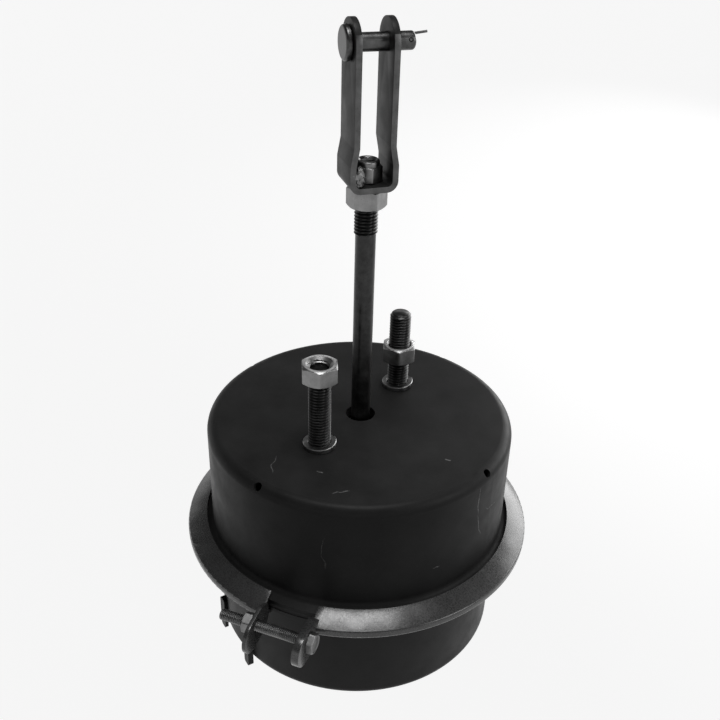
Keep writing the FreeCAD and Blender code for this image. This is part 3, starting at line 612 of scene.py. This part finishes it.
rod_bottom, rod_top = (corner.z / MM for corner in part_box("push_rod"))
rod = shaft("rod", [(rod_bottom, LOW_THREAD_END, M12, M12_PITCH), (*SHANK, SHANK_DIAMETER, 0),
                    (*HIGH_THREAD, M12, M12_PITCH), (HIGH_THREAD[1], rod_top, M8, M8_PITCH)],
            ROD_STEEL, chamfer=0.8)
fasten(rod, "rod", "rod_steel", "push_rod")
jam_nut = hex_nut("jam_nut", M12_FLATS, M12_NUT, M12, M12_PITCH, ZINC, None, JAM_NUT_BASE,
                  JAM_NUT_CORNER - 90)
# Painted highlight: the jam nut's upward faces get the lighter zinc.
face_finish_and_highlight(jam_nut, ZINC_PAINTED_HIGHLIGHT, UP)
fasten(jam_nut, "rod", "zinc", "clevis_jam_nut")
lock_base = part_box("clevis_lock_nut")[0].z / MM
lock_nut = hex_nut("lock_nut", M8_FLATS, LOCK_NUT, M8, M8_PITCH, LOCK_STEEL, None, lock_base,
                   LOCK_NUT_CORNER - 90, collar=LOCK_COLLAR)
fasten(lock_nut, "rod", "dark_zinc", "clevis_lock_nut")

# Clevis and weld

fork_tail = outward(CLEVIS_BEARING)
fork_side = fork_tail.cross(UP)
fork = softened("fork", "clevis", CLEVIS_STEEL, 0.35)
face_finish_and_highlight(fork, SHEARED, fork_side)
fasten(fork, "rod", "clevis_steel", "clevis")


def weld_bead():
    """Lumpy weld in the fork's near left corner, beside the lock nut."""
    centre = fork_tail * -7.6 + fork_side * 8.0 + UP * (FORK_FLOOR + 4.4)
    work = bmesh.new()
    bmesh.ops.create_icosphere(work, subdivisions=5, radius=1.0)
    for vert in work.verts:
        way = vert.co.normalized()
        lumps = noise.noise(way * 1.7 + Vector((3.1, 0, 0))) * 0.34
        drips = noise.noise(way * 4.5) * 0.16 + noise.noise(way * 11.0) * 0.05
        size = 1.0 + lumps + drips
        vert.co = (fork_tail * way.x * 3.7 + fork_side * way.y * 3.3 + UP * way.z * 5.0) * size + centre
    points = [tuple(vert.co) for vert in work.verts]
    faces = [[vert.index for vert in face.verts] for face in work.faces]
    work.free()
    return mesh_piece("weld_bead", points, faces, WELD, sharp=80.0)


fasten(weld_bead(), "rod", "clevis_steel")

# Diaphragm and return spring

def rounded_outline(corners, step=4.0):
    """Closed outline (radius, z) with its corners (radius, z, bend) rounded and its sides cut into steps."""
    outline = []
    count = len(corners)
    for index, (r, z, bend) in enumerate(corners):
        here = Vector((r, z))
        back = Vector(corners[index - 1][:2]) - here
        ahead = Vector(corners[(index + 1) % count][:2]) - here
        if bend > 0:
            half = back.angle(ahead) / 2
            reach = min(bend / math.tan(half), back.length / 2, ahead.length / 2)
            start, end = here + back.normalized() * reach, here + ahead.normalized() * reach
            for part in range(7):
                share = part / 6
                outline.append(start * (1 - share) ** 2 + here * 2 * share * (1 - share) + end * share ** 2)
        else:
            end = here
            outline.append(here)
        following = corners[(index + 1) % count]
        target = Vector(following[:2])
        cuts = int((target - end).length / step)
        for cut in range(1, cuts):
            outline.append(end.lerp(target, cut / (cuts + 1)))
    return [tuple(item) for item in outline]


rubber_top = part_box("diaphragm")[1].z / MM
rubber_base = rubber_top - RUBBER_SHEET
diaphragm = lathe("rubber_diaphragm", rounded_outline([
    (6.1, rubber_top, 0), (62.5, rubber_top, 6.0), (82.0, RIM_JOINT + 3.75, 2.0), (84.5, RIM_JOINT + 4.5, 0),
    (90.7, RIM_JOINT + 1.5, 0), (90.7, RIM_JOINT - 1.5, 0), (84.5, RIM_JOINT - 4.5, 0),
    (79.5, RIM_JOINT - 1.25, 4.0), (60.0, rubber_base, 4.0), (6.1, rubber_base, 0)]), RUBBER_FINISH,
    columns=128)
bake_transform(diaphragm)
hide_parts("diaphragm")


def coil_spring():
    """Round wire with a closed turn at each end."""
    low, high = (corner.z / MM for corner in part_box("return_spring"))
    wire, radius, turns, around, sides = 2.25, 29.0, 8.0, 56, 14
    bottom, rise = low + wire, high - low - 2 * wire
    pitch = (rise - 4 * wire) / (turns - 2)
    points = []
    steps = int(turns * around)
    for step in range(steps + 1):
        turn = step / around
        z = bottom + min(turn, 1.0) * 2 * wire + max(min(turn - 1, turns - 2), 0) * pitch
        z += max(turn - turns + 1, 0) * 2 * wire
        angle = 2 * math.pi * turn
        away = Vector((math.cos(angle), math.sin(angle), 0))
        for side in range(sides):
            twist = 2 * math.pi * side / sides
            points.append(tuple(away * (radius + wire * math.cos(twist))
                                + UP * (z + wire * math.sin(twist))))
    faces = [tuple(reversed(range(sides))), tuple(range(steps * sides, (steps + 1) * sides))]
    for step in range(steps):
        for side in range(sides):
            beside = (side + 1) % sides
            faces.append((step * sides + side, step * sides + beside, (step + 1) * sides + beside,
                          (step + 1) * sides + side))
    return mesh_piece("coil_spring", points, faces, SPRING_STEEL)


spring = coil_spring()
fasten(spring, "chamber", "spring_steel", "return_spring")
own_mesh(spring)

# Clamp band and vacuum port

fasten(softened("band", "clamp_band", BAND, 0.7), "chamber", "band_steel", "clamp_band")
fasten(softened("pad", "port_pad", PAINT, 0.4), "chamber", "black_paint", "port_pad")
fasten(softened("plate", "port_plate", PAINT, 0.5), "chamber", "black_paint", "port_plate")
fasten(softened("screws", "port_screws", ZINC_DULL, 0.25), "chamber", "zinc_dull", "port_screws")

# Clamp bolt

bolt_axis = sideways(GAP_BEARING)
bolt_seat = outward(GAP_BEARING) * CLAMP_BOLT_RADIUS - UP * CLAMP_BOLT_DEPTH + bolt_axis * HEAD_SEAT
bolt_place = Matrix.Translation(bolt_seat) @ UP.rotation_difference(bolt_axis).to_matrix().to_4x4()
bolt = shaft("clamp_screw", [(-SCREW_REACH, -SCREW_PLAIN, M6, M6_PITCH), (-SCREW_PLAIN, 0.0, M6, 0)],
             ZINC_DULL, bolt_place, chamfer=0.6)
fasten(bolt, "chamber", "zinc_dull")
bolt_head = hex_head("clamp_screw_head", M6_FLATS, M6_HEAD, ZINC_DULL, bolt_place, corner=12.0)
fasten(bolt_head, "chamber", "zinc_dull", "clamp_bolt")
nut_seat = bolt_seat - bolt_axis * (HEAD_SEAT + NUT_SEAT)
nut_place = Matrix.Translation(nut_seat) @ UP.rotation_difference(-bolt_axis).to_matrix().to_4x4()
clamp_nut = hex_nut("clamp_screw_nut", M6_FLATS, M6_NUT, M6, M6_PITCH, ZINC_DULL, nut_place, 0.0, 20.0)
fasten(clamp_nut, "chamber", "zinc_dull", "clamp_nut")

# Camera, light and floor

def photo_camera():
    height = math.radians(CAMERA_HEIGHT)
    back = outward(CAMERA_BEARING) * math.cos(height) + UP * math.sin(height)
    right = sideways(CAMERA_BEARING)
    up = back.cross(right)
    turn = Matrix.Rotation(math.radians(CAMERA_ROLL), 3, back)
    right, up = turn @ right, turn @ up
    place = (back * CAMERA_REACH + right * CAMERA_RIGHT + up * CAMERA_UP) * MM
    lens = bpy.data.cameras.new("photo_camera")
    lens.sensor_width = SENSOR
    lens.lens = FOCAL_PIXELS / PHOTO_WIDTH * SENSOR
    lens.shift_x = -(PHOTO_CENTRE[0] / PHOTO_WIDTH - 0.5)
    lens.shift_y = PHOTO_CENTRE[1] / PHOTO_WIDTH - 0.5
    lens.clip_start = 0.01
    camera = bpy.data.objects.new("photo_camera", lens)
    camera.matrix_world = Matrix.Translation(place) @ Matrix((right, up, back)).transposed().to_4x4()
    bpy.context.scene.collection.objects.link(camera)
    bpy.context.scene.camera = camera


def softbox(name, bearing, height, reach, size, power):
    """Area light that looks at the middle of the chamber from a bearing and a height in degrees."""
    light = bpy.data.lights.new(name, "AREA")
    light.shape = "RECTANGLE"
    light.size, light.size_y = size
    light.energy = power
    lamp = bpy.data.objects.new(name, light)
    rise = math.radians(height)
    direction = outward(bearing) * math.cos(rise) + UP * math.sin(rise)
    lamp.location = direction * reach
    lamp.rotation_euler = direction.to_track_quat("Z", "Y").to_euler()
    bpy.context.scene.collection.objects.link(lamp)


# Outline of the floor and its wall: radius and height in metres
STUDIO_PROFILE = [(2.6, 0.0), (2.8, 0.04), (2.94, 0.16), (3.0, 0.36), (3.0, 1.05)]
FLOOR_GLOW, FLOOR_GLOW_SHARE = 1.27, 0.72
SKY_STRENGTH = 0.12


def floor():
    """Round pale floor that curves up into a low wall all round. The glow keeps it near white where the
    camera, gloss or glass sees it."""
    columns = 96
    ground = CAD_BOX[0][2]
    points = [at(radius, column / columns, ground + rise) for radius, rise in STUDIO_PROFILE
              for column in range(columns)]
    faces = [tuple(range(columns))]
    for row in range(len(STUDIO_PROFILE) - 1):
        for column in range(columns):
            beside = (column + 1) % columns
            faces.append((row * columns + column, row * columns + beside, (row + 1) * columns + beside,
                          (row + 1) * columns + column))
    mesh = bpy.data.meshes.new("floor")
    mesh.from_pydata(points, [], faces)
    mesh.shade_smooth()
    plane = bpy.data.objects.new("floor", mesh)
    bpy.context.scene.collection.objects.link(plane)
    material, tree = new_material("pale_floor")
    cloud = mottle(tree, 400.0)
    matt = add(tree, "ShaderNodeBsdfDiffuse", {"Color": mixed(tree, cloud, grey(0.78), grey(0.80))})
    glow = add(tree, "ShaderNodeEmission", {"Color": grey(1.0), "Strength": FLOOR_GLOW})
    path = add(tree, "ShaderNodeLightPath")
    seen = maths(tree, "MAXIMUM", path.outputs["Is Camera Ray"],
                 maths(tree, "MAXIMUM", path.outputs["Is Glossy Ray"], path.outputs["Is Transmission Ray"]))
    share = maths(tree, "MULTIPLY", seen, FLOOR_GLOW_SHARE)
    blend = add(tree, "ShaderNodeMixShader", {0: share, 1: matt.outputs[0], 2: glow.outputs[0]})
    add(tree, "ShaderNodeOutputMaterial", {"Surface": blend.outputs[0]})
    mesh.materials.append(material)


def sky():
    world = bpy.data.worlds.new("studio")
    bpy.context.scene.world = world
    world.use_nodes = True
    tree = world.node_tree
    tree.nodes.clear()
    dim = add(tree, "ShaderNodeBackground", {"Color": grey(1.0), "Strength": SKY_STRENGTH})
    add(tree, "ShaderNodeOutputWorld", {"Surface": dim.outputs[0]})


photo_camera()
floor()
sky()
softbox("right_window", 166.0, 16.0, 1.3, (1.4, 0.7), 16.0)
softbox("ceiling", 32.5, 86.0, 1.3, (0.55, 0.50), 10.0)
softbox("right_fill", 95.0, 30.0, 1.3, (0.5, 0.7), 5.0)
bpy.context.scene.view_settings.view_transform = "Standard"
